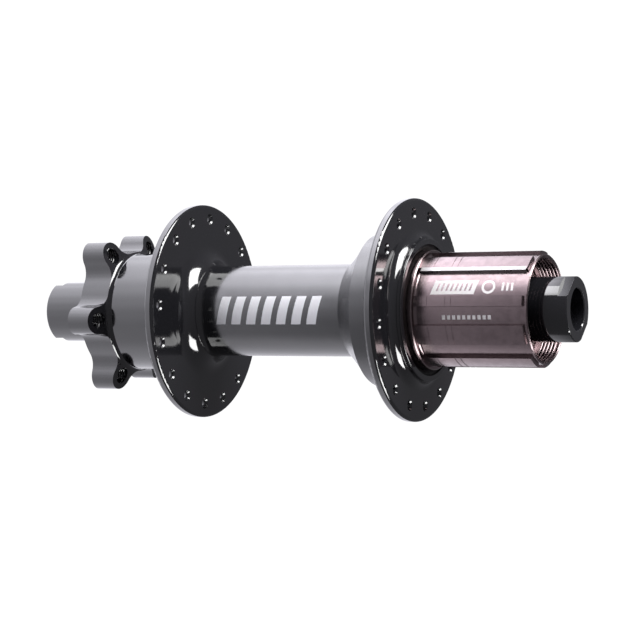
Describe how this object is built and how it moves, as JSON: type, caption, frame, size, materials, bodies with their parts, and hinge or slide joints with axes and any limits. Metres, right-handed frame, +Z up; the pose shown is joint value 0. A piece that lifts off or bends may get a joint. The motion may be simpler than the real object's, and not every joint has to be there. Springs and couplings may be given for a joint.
{
  "type": "rear hub assembly",
  "caption": "Black anodised rear bicycle hub with a bolted disc mount, two spoke flanges, a splined bronze cassette freehub and stepped thru-axle end caps.",
  "frame": {"origin": "on the hub axis, halfway between the two end-cap faces", "axes": "+Y along the hub axis towards the disc side, +X forwards on the bicycle, +Z up"},
  "size_m": [0.0666, 0.177, 0.0666],
  "materials": {
    "black_anodised_shell": "polished and black anodised, deep gloss",
    "black_anodised_caps": "turned and black anodised, gloss",
    "bronze_anodised_freehub": "satin pinkish bronze anodising",
    "bare_aluminium": "turned, uncoated",
    "black_rubber": "matte moulded rubber",
    "bearing_cage_nylon": "moulded nylon",
    "bearing_steel": "ground and polished",
    "strip_steel": "ground bright steel",
    "spring_steel": "blued spring steel",
    "hardened_steel": "hardened and ground"
  },
  "bodies": {
    "axle": {"main_axle": "bare_aluminium", "disc_end_cap": "black_anodised_caps", "drive_end_cap": "black_anodised_caps", "disc_dust_shield": "bare_aluminium", "disc_o_ring": "black_rubber", "drive_o_ring": "black_rubber", "inner_spacer_sleeve": "bare_aluminium", "freehub_spacer_sleeve": "bare_aluminium", "disc_bearing_inner_race": "bearing_steel", "drive_bearing_inner_race": "bearing_steel", "freehub_inner_bearing_inner_race": "bearing_steel", "freehub_outer_bearing_inner_race": "bearing_steel"},
    "hub_shell": {"hub_shell": "black_anodised_shell", "ratchet_ring": "hardened_steel", "freehub_seal": "black_rubber", "disc_bearing_outer_race": "bearing_steel", "disc_bearing_seals": "black_rubber", "drive_bearing_outer_race": "bearing_steel", "drive_bearing_seals": "black_rubber"},
    "freehub": {"freehub_body": "bronze_anodised_freehub", "spline_strip": "strip_steel", "snap_ring": "spring_steel", "pawl_springs": "spring_steel", "freehub_inner_bearing_outer_race": "bearing_steel", "freehub_inner_bearing_seals": "black_rubber", "freehub_outer_bearing_outer_race": "bearing_steel", "freehub_outer_bearing_seals": "black_rubber"},
    "disc_bearing_rollers": {"disc_bearing_balls": "bearing_steel", "disc_bearing_cage": "bearing_cage_nylon"},
    "drive_bearing_rollers": {"drive_bearing_balls": "bearing_steel", "drive_bearing_cage": "bearing_cage_nylon"},
    "freehub_inner_bearing_rollers": {"freehub_inner_bearing_balls": "bearing_steel", "freehub_inner_bearing_cage": "bearing_cage_nylon"},
    "freehub_outer_bearing_rollers": {"freehub_outer_bearing_balls": "bearing_steel", "freehub_outer_bearing_cage": "bearing_cage_nylon"},
    "pawl_1": {"pawl_1": "hardened_steel"},
    "pawl_2": {"pawl_2": "hardened_steel"},
    "pawl_3": {"pawl_3": "hardened_steel"},
    "pawl_4": {"pawl_4": "hardened_steel"},
    "pawl_5": {"pawl_5": "hardened_steel"},
    "pawl_6": {"pawl_6": "hardened_steel"}
  },
  "joints": [
    {"name": "shell_spin", "type": "hinge", "parent": "axle", "child": "hub_shell", "pos_m": [0, 0, 0], "axis": [0, 1, 0], "continuous": true},
    {"name": "freehub_spin", "type": "hinge", "parent": "axle", "child": "freehub", "pos_m": [0, 0, 0], "axis": [0, 1, 0], "continuous": true},
    {"name": "disc_bearing_roll", "type": "hinge", "parent": "axle", "child": "disc_bearing_rollers", "pos_m": [0, 0.063, 0], "axis": [0, 1, 0], "continuous": true},
    {"name": "drive_bearing_roll", "type": "hinge", "parent": "axle", "child": "drive_bearing_rollers", "pos_m": [0, -0.0255, 0], "axis": [0, 1, 0], "continuous": true},
    {"name": "freehub_inner_bearing_roll", "type": "hinge", "parent": "axle", "child": "freehub_inner_bearing_rollers", "pos_m": [0, -0.0467, 0], "axis": [0, 1, 0], "continuous": true},
    {"name": "freehub_outer_bearing_roll", "type": "hinge", "parent": "axle", "child": "freehub_outer_bearing_rollers", "pos_m": [0, -0.0685, 0], "axis": [0, 1, 0], "continuous": true},
    {"name": "pawl_1_lift", "type": "hinge", "parent": "freehub", "child": "pawl_1", "pos_m": [0.01314, -0.0355, 0.00352], "axis": [0, -1, 0], "range_deg": [0, 16], "stiffness_Nm_per_rad": 0.002, "springref_deg": 15.99},
    {"name": "pawl_2_lift", "type": "hinge", "parent": "freehub", "child": "pawl_2", "pos_m": [0.00352, -0.0355, 0.01314], "axis": [0, -1, 0], "range_deg": [0, 16], "stiffness_Nm_per_rad": 0.002, "springref_deg": 15.99},
    {"name": "pawl_3_lift", "type": "hinge", "parent": "freehub", "child": "pawl_3", "pos_m": [-0.00962, -0.0355, 0.00962], "axis": [0, -1, 0], "range_deg": [0, 16], "stiffness_Nm_per_rad": 0.002, "springref_deg": 15.99},
    {"name": "pawl_4_lift", "type": "hinge", "parent": "freehub", "child": "pawl_4", "pos_m": [-0.01314, -0.0355, -0.00352], "axis": [0, -1, 0], "range_deg": [0, 16], "stiffness_Nm_per_rad": 0.002, "springref_deg": 15.99},
    {"name": "pawl_5_lift", "type": "hinge", "parent": "freehub", "child": "pawl_5", "pos_m": [-0.00352, -0.0355, -0.01314], "axis": [0, -1, 0], "range_deg": [0, 16], "stiffness_Nm_per_rad": 0.002, "springref_deg": 15.99},
    {"name": "pawl_6_lift", "type": "hinge", "parent": "freehub", "child": "pawl_6", "pos_m": [0.00962, -0.0355, -0.00962], "axis": [0, -1, 0], "range_deg": [0, 16], "stiffness_Nm_per_rad": 0.002, "springref_deg": 15.99}
  ],
  "couplings": [
    {"joint": "disc_bearing_roll", "follows": "shell_spin", "ratio": 0.5814},
    {"joint": "drive_bearing_roll", "follows": "shell_spin", "ratio": 0.5814},
    {"joint": "freehub_inner_bearing_roll", "follows": "freehub_spin", "ratio": 0.56103},
    {"joint": "freehub_outer_bearing_roll", "follows": "freehub_spin", "ratio": 0.56103},
    {"joint": "pawl_2_lift", "follows": "pawl_1_lift", "ratio": 1},
    {"joint": "pawl_3_lift", "follows": "pawl_1_lift", "ratio": 1},
    {"joint": "pawl_4_lift", "follows": "pawl_1_lift", "ratio": 1},
    {"joint": "pawl_5_lift", "follows": "pawl_1_lift", "ratio": 1},
    {"joint": "pawl_6_lift", "follows": "pawl_1_lift", "ratio": 1}
  ]
}
